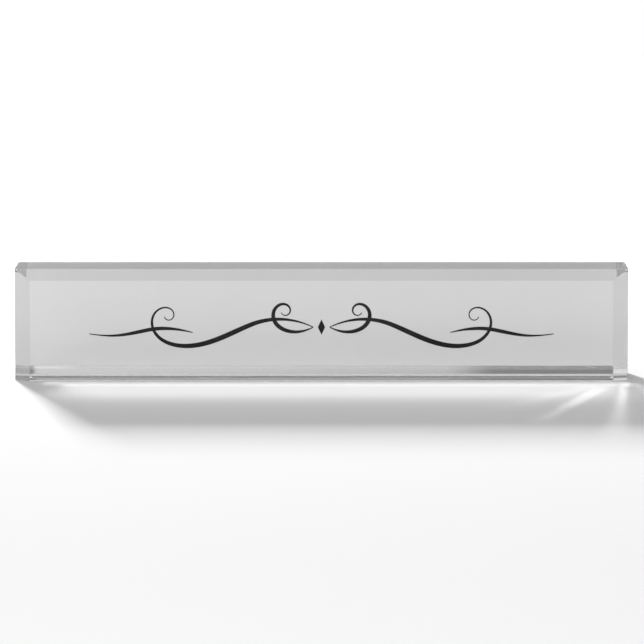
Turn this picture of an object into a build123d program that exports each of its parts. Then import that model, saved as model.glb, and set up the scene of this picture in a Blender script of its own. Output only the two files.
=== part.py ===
from build123d import *
import os

# Clear block, in millimetres
block_length = 250.0
block_height = 45.7
block_depth = 32.5

# Front bevel: along the top and both ends, with none along the base
front_bevel_depth = 3.8
front_bevel_top = 4.3
front_bevel_end = 6.2

# Back bevel: cut at 45 degrees round all four edges
back_bevel = 3.6

# Flat taken off the two long edges of the base
base_ease = 0.5

# Rounding that polishing leaves on every edge of the block
arris_radius = 0.25

# Films on the flat of the back, in order from the block outwards
film_margin = 0.15
film_corner_radius = 0.8
adhesive_thickness = 0.05
print_thickness = 0.1
backing_thickness = 0.15

# The origin lies under the middle of the whole plate, on the desk
films_depth = adhesive_thickness + print_thickness + backing_thickness
front_y = -(block_depth + films_depth) / 2


def upright_plane(depth, height):
    """Plane across the block, at a depth behind its front, facing the back."""
    return Plane(origin=(0, front_y + depth, height), x_dir=(-1, 0, 0), z_dir=(0, 1, 0))


def block_section(depth, end_inset=0, base_inset=0, top_inset=0):
    """Outline of the block at one depth, drawn in from its ends, base and top."""
    width = block_length - 2 * end_inset
    height = block_height - base_inset - top_inset
    outline = Rectangle(width, height, align=(Align.CENTER, Align.MIN))
    return upright_plane(depth, base_inset) * outline


def acrylic_block():
    """Block whose four sections make the front bevel, the straight body and the back bevel."""
    sections = [
        block_section(0, end_inset=front_bevel_end, top_inset=front_bevel_top),
        block_section(front_bevel_depth),
        block_section(block_depth - back_bevel),
        block_section(block_depth, back_bevel, back_bevel, back_bevel),
    ]
    block = loft(sections, ruled=True).clean()
    base = block.faces().sort_by(Axis.Z)[0]
    block = chamfer(base.edges().filter_by(Axis.X), length=base_ease)
    return fillet(block.edges(), radius=arris_radius)


def back_film(offset, thickness):
    """Sheet on the flat of the back, a margin in from where the bevel starts."""
    inset = back_bevel + film_margin
    width = block_length - 2 * inset
    height = block_height - 2 * inset
    outline = RectangleRounded(width, height, film_corner_radius)
    return extrude(upright_plane(block_depth + offset, block_height / 2) * outline, thickness)


nodes = {
    "acrylic_block": acrylic_block(),
    "adhesive_film": back_film(0, adhesive_thickness),
    "printed_film": back_film(adhesive_thickness, print_thickness),
    "backing_film": back_film(adhesive_thickness + print_thickness, backing_thickness),
}

os.makedirs("parts", exist_ok=True)
for name, solid in nodes.items():
    export_step(solid, f"parts/{name}.step")
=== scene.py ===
import math

import bmesh
import bpy
from mathutils import Matrix, Vector


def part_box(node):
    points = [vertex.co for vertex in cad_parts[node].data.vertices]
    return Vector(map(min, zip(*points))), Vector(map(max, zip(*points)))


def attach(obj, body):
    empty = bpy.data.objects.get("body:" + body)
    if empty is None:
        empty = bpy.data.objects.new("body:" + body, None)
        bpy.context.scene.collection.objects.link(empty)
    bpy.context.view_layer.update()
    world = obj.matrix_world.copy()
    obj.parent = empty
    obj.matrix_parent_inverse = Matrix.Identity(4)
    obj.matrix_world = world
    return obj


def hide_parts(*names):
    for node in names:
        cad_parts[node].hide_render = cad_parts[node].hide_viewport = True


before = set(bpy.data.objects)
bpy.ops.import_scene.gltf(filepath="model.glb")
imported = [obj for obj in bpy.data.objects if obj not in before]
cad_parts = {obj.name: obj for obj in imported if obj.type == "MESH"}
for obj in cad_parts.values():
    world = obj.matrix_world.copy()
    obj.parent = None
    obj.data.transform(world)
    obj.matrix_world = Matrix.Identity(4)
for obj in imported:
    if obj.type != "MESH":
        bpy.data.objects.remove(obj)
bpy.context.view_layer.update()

mm = 0.001

# Bevels of the clear block: three along the front, four round the back
front_bevel_depth = 3.8 * mm
front_bevel_top = 4.3 * mm
front_bevel_end = 6.2 * mm
back_bevel = 3.6 * mm
back_bevel_depth = 3.75 * mm

# Flat taken off the two long edges of the base, and the rounding of every edge
base_ease = 0.5 * mm
ease_segments = 1
arris_width = 0.13 * mm
arris_segments = 3
arris_profile_share = 0.5

# The clear adhesive joins block and print, so the clear piece reaches just past the print's face
bond_overlap = 0.03 * mm

# Acrylic
acrylic_ior = 1.49
flat_tint = 0.985
edge_tint = 0.97
# Bevel facets and arrises get a darker tint: partly their less clear finish, partly painted shade that keeps
# them darker than the front face
bevel_tint_and_shade = 0.8
full_glare = 1.0
front_glare = 0.4

# Haze from handling, in patches
hand_haze = 0.012
base_haze = 0.002
haze_scale = 90
haze_detail = 3
haze_start_share = 0.45
haze_end_share = 0.75

# Ripple of the top and ends: waves per metre along each axis
ripple_stretch = (22, 160, 60)
ripple_scale = 1
ripple_detail = 2
ripple_strength_share = 1.0
ripple_depth = 0.02 * mm

# Films: colour level, grain in the colour, roughness, gloss, and the grain's scale per metre and depth
print_finish = {
    "level": 0.65,
    "grain_share": 0.012,
    "roughness": 0.08,
    "gloss": 0.5,
    "grain_scale": 2500,
    "grain_depth": 0.0005 * mm,
}
ink_finish = {
    "level": 0.012,
    "grain_share": 0.2,
    "roughness": 0.7,
    "gloss": 0.0,
    "grain_scale": 4000,
    "grain_depth": 0.002 * mm,
}
backing_finish = {
    "level": 0.84,
    "grain_share": 0.02,
    "roughness": 0.55,
    "gloss": 0.5,
    "grain_scale": 1400,
    "grain_depth": 0.02 * mm,
}
grain_detail = 4
grain_low_share = 0.3
grain_high_share = 0.7
grain_strength_share = 0.4

# The print is a mirror where it is seen along its surface, and its ink shows through the front only
mirror_start_share = 0.7
mirror_end_share = 0.88
mirror_tint = 0.95
ink_fade_start_share = 0.26
ink_fade_end_share = 0.30

# Flourish on the print, in mm: each arm has a start, a heading in degrees, runs and a half thickness
# A run has a length and its first and last curvature per mm
flourish_arms = [
    (
        (3.4, 0.0),
        26,
        [(26, -0.030, -0.034), (34, -0.014, 0.050), (22, 0.055, 0.19), (12, 0.19, 0.6)],
        1.05,
    ),
    (
        (3.4, 0.0),
        -28,
        [(14, 0.05, 0.10), (12, 0.13, 0.24), (11, 0.26, 0.6)],
        0.85,
    ),
    (
        (53.0, -2.2),
        14,
        [(18, -0.012, -0.036), (14, -0.012, 0.03), (11, 0.030, 0.008)],
        0.80,
    ),
]
flourish_step = 0.5
flourish_thin = 0.2
flourish_height = 19.5
swell_skew = 0.8
swell_sharpness = 1.5
lozenge_half_width = 1.5
lozenge_half_height = 3.2
lozenge_half_tip = 0.02
ink_depth = 0.008 * mm
ink_layer_share = 0.25
ink_sink = 0.004 * mm

# Camera: long lens from a little above, on the middle of the front
sensor_width = 36.0
camera_lens = 271.95
camera_elevation = math.radians(7.23)
camera_distance = 1980 * mm
camera_aim_height = 24.4 * mm
camera_aim_side = 0.22 * mm
camera_reach = 100.0

# Times that light may bounce inside the clear block
light_bounces = 24

# Floor: matte, and white where it runs out of the lamps' reach
floor_size = 30.0
floor_gap = 0.02 * mm
floor_albedo = 0.9
floor_white_start = 0.75
floor_white_end = 1.9

# Key light: low, behind and to the left
key_azimuth = math.radians(17)
key_elevation = math.radians(17)
key_distance = 2.5
key_width = 0.30
key_height = 0.36
key_power = 14.0
floor_key_power = 132.0

# Light that the clear block throws on the floor: two bands along the front and streaks from the right corner
# Each has its side, gap, width, height and lift in mm, pitch, yaw and spread in degrees, and power in watts
glow_bands = [
    (8, 7.0, 226, 33, 1.5, 43, 0, 88, 0.0152),
    (6, 0.3, 238, 7, 1.0, 43, 0, 60, 0.0023),
    (123.5, 4, 3, 30, 0.3, 12, 5, 7, 0.0005),
    (114, 16, 6, 12, 0.3, 12, 17, 6, 0.00019),
    (107, 36, 5, 16, 0.3, 12, 17, 7, 0.00012),
    (110, 12, 8, 14, 0.3, 12, 32, 12, 0.00013),
    (125, 4, 6, 10, 0.3, 12, -14, 24, 0.00018),
]

# Front fill: a long low softbox
fill_distance = 1.6
fill_side = -0.2
fill_height = 0.3
fill_size_x = 1.4
fill_size_y = 0.5
fill_power = 14.0

# Surroundings: an even level for matte surfaces, and for the clear block a room of grey levels
world_matte = 0.4
matte_bounce_limit = 0.5

# Room, by the parts of a direction of length one: across to the right, depth to the back, and up
# The wall has a level at each height, then come the ranges and levels of what is on it and beside it
wall_levels = [(0.0, 0.3), (0.125, 0.26), (0.3, 0.45), (0.485, 0.72), (0.7, 0.6), (0.9, 0.38), (1.0, 0.35)]
pattern_up = (0.3, 0.4)
lean_across = (-0.1, 0.04)
lean_levels = (1.25, 0.86)
right_bar_start = (0.0245, 0.0365)
right_bar_level = 0.48
right_bar_end = (0.09, 0.13)
left_bar_start = (-0.0597, -0.0584)
left_bar_level = 0.34
left_bar_end = (-0.13, -0.09)
ceiling_up = (0.85, 0.92)
ceiling_across = (-0.22, -0.12)
ceiling_levels = (1.75, 1.0)
aside_across = (0.4, 0.75)
side_across = (-0.4, 0.4)
side_levels = (0.41, 0.49)
front_depth = (-0.15, -0.4)
front_level = 0.5

block_low, block_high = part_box("acrylic_block")
print_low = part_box("printed_film")[0]
front_y = block_low.y
bond_y = print_low.y + bond_overlap


def new_material(name):
    """Empty node material with its output node."""
    material = bpy.data.materials.new(name)
    material.use_nodes = True
    material.node_tree.nodes.clear()
    output = material.node_tree.nodes.new("ShaderNodeOutputMaterial")
    return material, material.node_tree, output


def math_node(tree, operation, *values):
    """Result of one sum on sockets or plain numbers."""
    node = tree.nodes.new("ShaderNodeMath")
    node.operation = operation
    for socket, value in zip(node.inputs, values):
        if isinstance(value, (int, float)):
            socket.default_value = value
        else:
            tree.links.new(value, socket)
    return node.outputs[0]


def map_range(tree, value, ends, levels=(0, 1), smooth=True):
    """A value taken from one range to another and kept inside it."""
    node = tree.nodes.new("ShaderNodeMapRange")
    node.clamp = True
    node.interpolation_type = "SMOOTHSTEP" if smooth else "LINEAR"
    tree.links.new(value, node.inputs["Value"])
    node.inputs["From Min"].default_value = ends[0]
    node.inputs["From Max"].default_value = ends[1]
    node.inputs["To Min"].default_value = levels[0]
    node.inputs["To Max"].default_value = levels[1]
    return node.outputs["Result"]


def noise(tree, scale, detail, stretch=(1, 1, 1)):
    """Noise on the object's own coordinates, at a scale per metre along each axis."""
    place = tree.nodes.new("ShaderNodeTexCoord")
    mapping = tree.nodes.new("ShaderNodeMapping")
    mapping.inputs["Scale"].default_value = stretch
    texture = tree.nodes.new("ShaderNodeTexNoise")
    texture.inputs["Scale"].default_value = scale
    texture.inputs["Detail"].default_value = detail
    tree.links.new(place.outputs["Object"], mapping.inputs["Vector"])
    tree.links.new(mapping.outputs["Vector"], texture.inputs["Vector"])
    return texture.outputs["Fac"]


def bump(tree, height, strength, distance):
    """Normal from a height."""
    node = tree.nodes.new("ShaderNodeBump")
    node.inputs["Strength"].default_value = strength
    node.inputs["Distance"].default_value = distance
    tree.links.new(height, node.inputs["Height"])
    return node.outputs["Normal"]


def mix_shaders(tree, share, first, second):
    """Two shaders mixed by a share."""
    mix = tree.nodes.new("ShaderNodeMixShader")
    tree.links.new(share, mix.inputs[0])
    tree.links.new(first, mix.inputs[1])
    tree.links.new(second, mix.inputs[2])
    return mix.outputs[0]


def clear_material(name, tint, glare=full_glare, haze=hand_haze, rippled=False):
    """Clear acrylic that lets lamps straight through to what is bonded behind it."""
    material, tree, output = new_material(name)
    clear = tree.nodes.new("ShaderNodeBsdfPrincipled")
    clear.inputs["Base Color"].default_value = (tint, tint, tint, 1)
    clear.inputs["IOR"].default_value = acrylic_ior
    clear.inputs["Transmission Weight"].default_value = 1.0
    clear.inputs["Specular Tint"].default_value = (glare, glare, glare, 1)
    clear.inputs["Roughness"].default_value = 0.0
    if haze:
        handling = noise(tree, haze_scale, haze_detail)
        patches = map_range(tree, handling, (haze_start_share, haze_end_share), (0, haze), smooth=False)
        tree.links.new(patches, clear.inputs["Roughness"])
    if rippled:
        ripple = noise(tree, ripple_scale, ripple_detail, ripple_stretch)
        normal = bump(tree, ripple, ripple_strength_share, ripple_depth)
        tree.links.new(normal, clear.inputs["Normal"])
    open_side = tree.nodes.new("ShaderNodeBsdfTransparent")
    path = tree.nodes.new("ShaderNodeLightPath")
    geometry = tree.nodes.new("ShaderNodeNewGeometry")
    lamp_or_matte = math_node(tree, "MAXIMUM", path.outputs["Is Shadow Ray"], path.outputs["Is Diffuse Ray"])
    from_inside = math_node(tree, "MULTIPLY", lamp_or_matte, geometry.outputs["Backfacing"])
    surface = mix_shaders(tree, from_inside, clear.outputs[0], open_side.outputs[0])
    tree.links.new(surface, output.inputs["Surface"])
    return material


def film_shader(tree, level, grain_share, roughness, gloss, grain_scale, grain_depth):
    """Film with a fine grain in its colour and surface."""
    shader = tree.nodes.new("ShaderNodeBsdfPrincipled")
    grain = noise(tree, grain_scale, grain_detail)
    tones = (level * (1 - grain_share), level * (1 + grain_share))
    tone = map_range(tree, grain, (grain_low_share, grain_high_share), tones, smooth=False)
    colour = tree.nodes.new("ShaderNodeCombineColor")
    for channel in ("Red", "Green", "Blue"):
        tree.links.new(tone, colour.inputs[channel])
    tree.links.new(colour.outputs["Color"], shader.inputs["Base Color"])
    shader.inputs["Roughness"].default_value = roughness
    shader.inputs["Specular IOR Level"].default_value = gloss
    tree.links.new(bump(tree, grain, grain_strength_share, grain_depth), shader.inputs["Normal"])
    return shader.outputs[0]


def edge_on(tree, first, second, start, end):
    """One shader seen squarely and another seen edge-on."""
    facing = tree.nodes.new("ShaderNodeLayerWeight").outputs["Facing"]
    return mix_shaders(tree, map_range(tree, facing, (start, end)), first, second)


def print_material():
    """Satin grey print, a mirror when seen along its surface."""
    material, tree, output = new_material("print_film")
    satin = film_shader(tree, **print_finish)
    mirror = tree.nodes.new("ShaderNodeBsdfGlossy")
    mirror.inputs["Color"].default_value = (mirror_tint, mirror_tint, mirror_tint, 1)
    mirror.inputs["Roughness"].default_value = 0.0
    surface = edge_on(tree, satin, mirror.outputs[0], mirror_start_share, mirror_end_share)
    tree.links.new(surface, output.inputs["Surface"])
    return material


def ink_material():
    """Dull black ink that shows through the front face only."""
    material, tree, output = new_material("black_ink")
    ink = film_shader(tree, **ink_finish)
    hidden = tree.nodes.new("ShaderNodeBsdfTransparent")
    surface = edge_on(tree, ink, hidden.outputs[0], ink_fade_start_share, ink_fade_end_share)
    tree.links.new(surface, output.inputs["Surface"])
    return material


def backing_material():
    """Plain white vinyl."""
    material, tree, output = new_material("backing_vinyl")
    tree.links.new(film_shader(tree, **backing_finish), output.inputs["Surface"])
    return material


def add_piece(name, mesh, materials):
    """Object from a finished mesh, with its materials."""
    data = bpy.data.meshes.new(name)
    mesh.to_mesh(data)
    mesh.free()
    for material in materials:
        data.materials.append(material)
    piece = bpy.data.objects.new(name, data)
    bpy.context.scene.collection.objects.link(piece)
    return piece


def block_corners(y, end_inset=0, base_inset=0, top_inset=0):
    """Corners of the block's outline at one depth, round from the base's left."""
    left = block_low.x + end_inset
    right = block_high.x - end_inset
    base = block_low.z + base_inset
    top = block_high.z - top_inset
    return [(left, y, base), (right, y, base), (right, y, top), (left, y, top)]


def clear_block(print_film):
    """Clear block with its front and back bevels, eased base and softly rounded arrises."""
    materials = [
        clear_material("cast_acrylic", flat_tint, glare=front_glare),
        clear_material("edge_acrylic", edge_tint, rippled=True),
        # The bevel and arris pieces take the darker tint, which is partly painted shade
        clear_material("bevel_acrylic", bevel_tint_and_shade),
        print_film,
        clear_material("arris_acrylic", bevel_tint_and_shade, haze=0),
        clear_material("base_acrylic", edge_tint, haze=base_haze),
    ]
    flat_slot, edge_slot, bevel_slot, print_slot, arris_slot, base_slot = range(len(materials))
    rings = [
        block_corners(front_y, front_bevel_end, 0, front_bevel_top),
        block_corners(front_y + front_bevel_depth),
        block_corners(bond_y - back_bevel_depth),
        block_corners(bond_y, back_bevel, back_bevel, back_bevel),
    ]
    mesh = bmesh.new()
    front, fore, aft, back = [[mesh.verts.new(corner) for corner in ring] for ring in rings]
    sides = len(front)
    for flat in (front, back[::-1]):
        mesh.faces.new(flat).material_index = flat_slot
    base = mesh.faces.new([front[0], fore[0], aft[0], aft[1], fore[1], front[1]])
    base.material_index = base_slot
    for side in range(1, sides):
        after = (side + 1) % sides
        bevel = mesh.faces.new([front[side], fore[side], fore[after], front[after]])
        bevel.material_index = bevel_slot
        edge = mesh.faces.new([fore[side], aft[side], aft[after], fore[after]])
        edge.material_index = edge_slot
    for side in range(sides):
        after = (side + 1) % sides
        bevel = mesh.faces.new([aft[side], back[side], back[after], aft[after]])
        bevel.material_index = bevel_slot
    bmesh.ops.recalc_face_normals(mesh, faces=mesh.faces)
    base_ends = [{front[0], front[1]}, {aft[0], aft[1]}]
    base_edges = [edge for edge in mesh.edges if set(edge.verts) in base_ends]
    eased = bmesh.ops.bevel(mesh, geom=base_edges, offset=base_ease, segments=ease_segments, affect="EDGES")
    for face in eased["faces"]:
        face.material_index = base_slot
    rounded = bmesh.ops.bevel(
        mesh,
        geom=list(mesh.edges),
        offset=arris_width,
        segments=arris_segments,
        profile=arris_profile_share,
        affect="EDGES",
        clamp_overlap=True,
    )
    for face in rounded["faces"]:
        face.smooth = True
        face.material_index = arris_slot
    for face in mesh.faces:
        if min(vertex.co.y for vertex in face.verts) > bond_y - arris_width:
            face.material_index = print_slot
    piece = add_piece("clear_block", mesh, materials)
    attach(piece, "root")
    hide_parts("acrylic_block", "adhesive_film")


def arm_points(start, heading, runs):
    """Points along an arm whose curvature changes evenly over each run."""
    x, z = start
    angle = math.radians(heading)
    points = [(x, z)]
    for length, first, last in runs:
        count = round(length / flourish_step)
        step = length / count
        for index in range(count):
            along_share = (2 * index + 1) / (2 * count)
            bend = (first + (last - first) * along_share) * step / 2
            angle += bend
            x += math.cos(angle) * step
            z += math.sin(angle) * step
            angle += bend
            points.append((x, z))
    return points


def arm_outline(points, thick):
    """Both edges of a stroke that is thin at its ends and swells in between."""
    last = len(points) - 1
    edges = ([], [])
    for index, (x, z) in enumerate(points):
        before = points[max(0, index - 1)]
        after = points[min(last, index + 1)]
        along = Vector((after[0] - before[0], after[1] - before[1])).normalized()
        swell = math.sin(math.pi * (index / last) ** swell_skew) ** swell_sharpness
        half = flourish_thin + (thick - flourish_thin) * swell
        edges[0].append((x - along.y * half, z + along.x * half))
        edges[1].append((x + along.y * half, z - along.x * half))
    return edges


def add_strip(mesh, upper, lower, mirror, front, back):
    """Closed flat stroke between two edges."""

    def vertex(point, y):
        return mesh.verts.new((mirror * point[0] * mm, y, (flourish_height + point[1]) * mm))

    rows = [[vertex(point, y) for point in line] for y in (front, back) for line in (upper, lower)]
    front_upper, front_lower, back_upper, back_lower = rows
    for index in range(len(upper) - 1):
        after = index + 1
        mesh.faces.new([front_upper[index], front_lower[index], front_lower[after], front_upper[after]])
        mesh.faces.new([back_upper[after], back_lower[after], back_lower[index], back_upper[index]])
        mesh.faces.new([front_upper[after], back_upper[after], back_upper[index], front_upper[index]])
        mesh.faces.new([front_lower[index], back_lower[index], back_lower[after], front_lower[after]])
    mesh.faces.new([front_upper[0], back_upper[0], back_lower[0], front_lower[0]])
    mesh.faces.new([front_lower[-1], back_lower[-1], back_upper[-1], front_upper[-1]])


def flourish():
    """Plain pen flourish with a lozenge in its middle, printed in black on the grey."""
    mesh = bmesh.new()
    back = print_low.y + ink_sink
    for layer, (start, heading, runs, thick) in enumerate(flourish_arms):
        upper, lower = arm_outline(arm_points(start, heading, runs), thick)
        front = print_low.y - ink_depth * (1 + layer * ink_layer_share)
        for mirror in (-1, 1):
            add_strip(mesh, upper, lower, mirror, front, back)
    upper = [
        (-lozenge_half_width, lozenge_half_tip),
        (0, lozenge_half_height),
        (lozenge_half_width, lozenge_half_tip),
    ]
    lower = [(x, -z) for x, z in upper]
    add_strip(mesh, upper, lower, 1, print_low.y - ink_depth, back)
    bmesh.ops.recalc_face_normals(mesh, faces=mesh.faces)
    piece = add_piece("flourish", mesh, [ink_material()])
    piece.visible_shadow = False
    piece.visible_diffuse = False
    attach(piece, "root")


def dress(node, material):
    """Better finish on a solid that shows as it is."""
    node.data.materials.clear()
    node.data.materials.append(material)


def seen_share(tree):
    """One for what is seen directly or in clear or shiny surfaces, zero for light on matte ones."""
    path = tree.nodes.new("ShaderNodeLightPath")
    return math_node(tree, "LESS_THAN", path.outputs["Diffuse Depth"], matte_bounce_limit)


def studio_floor():
    """Pale floor that takes shadows near the plate and runs out to plain white."""
    mesh = bmesh.new()
    half = floor_size / 2
    corners = [(-half, -half), (half, -half), (half, half), (-half, half)]
    mesh.faces.new([mesh.verts.new((x, y, -floor_gap)) for x, y in corners])
    material, tree, output = new_material("pale_floor")
    matte = tree.nodes.new("ShaderNodeBsdfDiffuse")
    matte.inputs["Color"].default_value = (floor_albedo, floor_albedo, floor_albedo, 1)
    white = tree.nodes.new("ShaderNodeEmission")
    place = tree.nodes.new("ShaderNodeTexCoord")
    reach = tree.nodes.new("ShaderNodeSeparateXYZ")
    tree.links.new(place.outputs["Object"], reach.inputs[0])
    far = map_range(tree, reach.outputs["Y"], (floor_white_start, floor_white_end))
    share = math_node(tree, "MULTIPLY", far, seen_share(tree))
    surface = mix_shaders(tree, share, matte.outputs[0], white.outputs[0])
    tree.links.new(surface, output.inputs["Surface"])
    plane = add_piece("floor", mesh, [material])
    return plane


def from_behind(distance, azimuth, elevation):
    """Place behind the plate at a distance and elevation, to the left by an angle."""
    level = distance * math.cos(elevation)
    return Vector((-level * math.sin(azimuth), level * math.cos(azimuth), distance * math.sin(elevation)))


def area_light(name, place, aim, size_x, size_y, power):
    """Soft rectangular lamp turned to a point."""
    lamp = bpy.data.lights.new(name, "AREA")
    lamp.shape = "RECTANGLE"
    lamp.size = size_x
    lamp.size_y = size_y
    lamp.energy = power
    holder = bpy.data.objects.new(name, lamp)
    bpy.context.scene.collection.objects.link(holder)
    holder.location = place
    holder.rotation_euler = (aim - place).to_track_quat("-Z", "Y").to_euler()
    holder.visible_camera = False
    holder.visible_glossy = False
    holder.visible_transmission = False
    return holder


def floor_glow(floor_only, no_blockers, band):
    """Lamp low over the floor that slopes forward and lights the floor alone."""
    side, gap, width, height, lift, pitch, yaw, spread, power = band
    turn = Matrix.Rotation(math.radians(-yaw), 3, "Z")
    slope = math.radians(pitch)
    start = Vector((side * mm, front_y - gap * mm, lift * mm))
    aim = turn @ Vector((0, -math.cos(slope), -math.sin(slope)))
    rise = turn @ Vector((0, -math.sin(slope), math.cos(slope)))
    place = start + rise * height * mm / 2
    glow = area_light("glow", place, place + aim, width * mm, height * mm, power)
    glow.data.spread = math.radians(spread)
    glow.light_linking.receiver_collection = floor_only
    glow.light_linking.blocker_collection = no_blockers


def studio_lamps(floor):
    """Key from behind, part of it on the floor alone, the floor's bands and streaks, and the front fill."""
    floor_only = bpy.data.collections.new("floor_only")
    floor_only.objects.link(floor)
    no_blockers = bpy.data.collections.new("no_blockers")
    middle = Vector((0, 0, block_high.z / 2))
    key_place = from_behind(key_distance, key_azimuth, key_elevation)
    area_light("key", key_place, middle, key_width, key_height, key_power)
    floor_key = area_light("floor_key", key_place, middle, key_width, key_height, floor_key_power)
    floor_key.light_linking.receiver_collection = floor_only
    for band in glow_bands:
        floor_glow(floor_only, no_blockers, band)
    fill_place = Vector((fill_side, -fill_distance, fill_height))
    area_light("fill", fill_place, middle, fill_size_x, fill_size_y, fill_power)


def blend_level(tree, first, second, share):
    """Level between two, by a share."""
    node = tree.nodes.new("ShaderNodeMix")
    node.data_type = "FLOAT"
    for value, socket in ((first, node.inputs["A"]), (second, node.inputs["B"])):
        if isinstance(value, (int, float)):
            socket.default_value = value
        else:
            tree.links.new(value, socket)
    tree.links.new(share, node.inputs["Factor"])
    return node.outputs["Result"]


def wall_level(tree, across, up):
    """Level of the wall behind: by height, and high up darker to the right, with a dark bar at each side."""
    ramp = tree.nodes.new("ShaderNodeValToRGB")
    for position, _ in wall_levels[1:-1]:
        ramp.color_ramp.elements.new(position)
    for element, (position, level) in zip(ramp.color_ramp.elements, wall_levels):
        element.position = position
        element.color = (level, level, level, 1)
    tree.links.new(up, ramp.inputs["Fac"])
    lean = map_range(tree, across, lean_across, lean_levels, smooth=False)
    right_start = map_range(tree, across, right_bar_start, (1, right_bar_level))
    right_end = map_range(tree, across, right_bar_end)
    left_start = map_range(tree, across, left_bar_start, (left_bar_level, 1))
    left_end = map_range(tree, across, left_bar_end, (1, 0))
    right_bar = math_node(tree, "MAXIMUM", right_start, right_end)
    left_bar = math_node(tree, "MAXIMUM", left_start, left_end)
    bars = math_node(tree, "MULTIPLY", left_bar, right_bar)
    pattern = blend_level(tree, 1.0, math_node(tree, "MULTIPLY", lean, bars), map_range(tree, up, pattern_up))
    ceiling_side = map_range(tree, across, ceiling_across, ceiling_levels, smooth=False)
    ceiling = blend_level(tree, 1.0, ceiling_side, map_range(tree, up, ceiling_up))
    return math_node(tree, "MULTIPLY", math_node(tree, "MULTIPLY", pattern, ramp.outputs["Color"]), ceiling)


def surroundings():
    """White to the camera, even for matte surfaces, and a dim room in the clear block."""
    world = bpy.data.worlds.new("studio")
    bpy.context.scene.world = world
    world.use_nodes = True
    tree = world.node_tree
    axes = tree.nodes.new("ShaderNodeSeparateXYZ")
    tree.links.new(tree.nodes.new("ShaderNodeTexCoord").outputs["Generated"], axes.inputs[0])
    across, depth, up = axes.outputs
    aside = map_range(tree, math_node(tree, "ABSOLUTE", across), aside_across)
    side_level = map_range(tree, across, side_across, side_levels, smooth=False)
    behind = blend_level(tree, wall_level(tree, across, up), side_level, aside)
    room = blend_level(tree, behind, front_level, map_range(tree, depth, front_depth))
    seen_level = blend_level(tree, world_matte, room, seen_share(tree))
    camera_ray = tree.nodes.new("ShaderNodeLightPath").outputs["Is Camera Ray"]
    background = tree.nodes["Background"]
    background.inputs["Color"].default_value = (1, 1, 1, 1)
    tree.links.new(blend_level(tree, seen_level, 1.0, camera_ray), background.inputs["Strength"])


def studio_camera():
    """Camera in front of the plate and a little above it."""
    data = bpy.data.cameras.new("camera")
    data.lens = camera_lens
    data.sensor_width = sensor_width
    data.clip_end = camera_reach
    camera = bpy.data.objects.new("camera", data)
    bpy.context.scene.collection.objects.link(camera)
    aim = Vector((camera_aim_side, front_y, camera_aim_height))
    away = Vector((0, -math.cos(camera_elevation), math.sin(camera_elevation)))
    camera.location = aim + away * camera_distance
    camera.rotation_euler = (-away).to_track_quat("-Z", "Y").to_euler()
    bpy.context.scene.camera = camera


print_film = print_material()
clear_block(print_film)
flourish()
dress(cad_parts["printed_film"], print_film)
dress(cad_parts["backing_film"], backing_material())
studio_lamps(studio_floor())
surroundings()
studio_camera()

bpy.context.scene.view_settings.view_transform = "Standard"
bpy.context.scene.cycles.sample_clamp_indirect = 0.0
bpy.context.scene.cycles.max_bounces = light_bounces
bpy.context.scene.cycles.transmission_bounces = light_bounces
bpy.context.scene.cycles.glossy_bounces = light_bounces
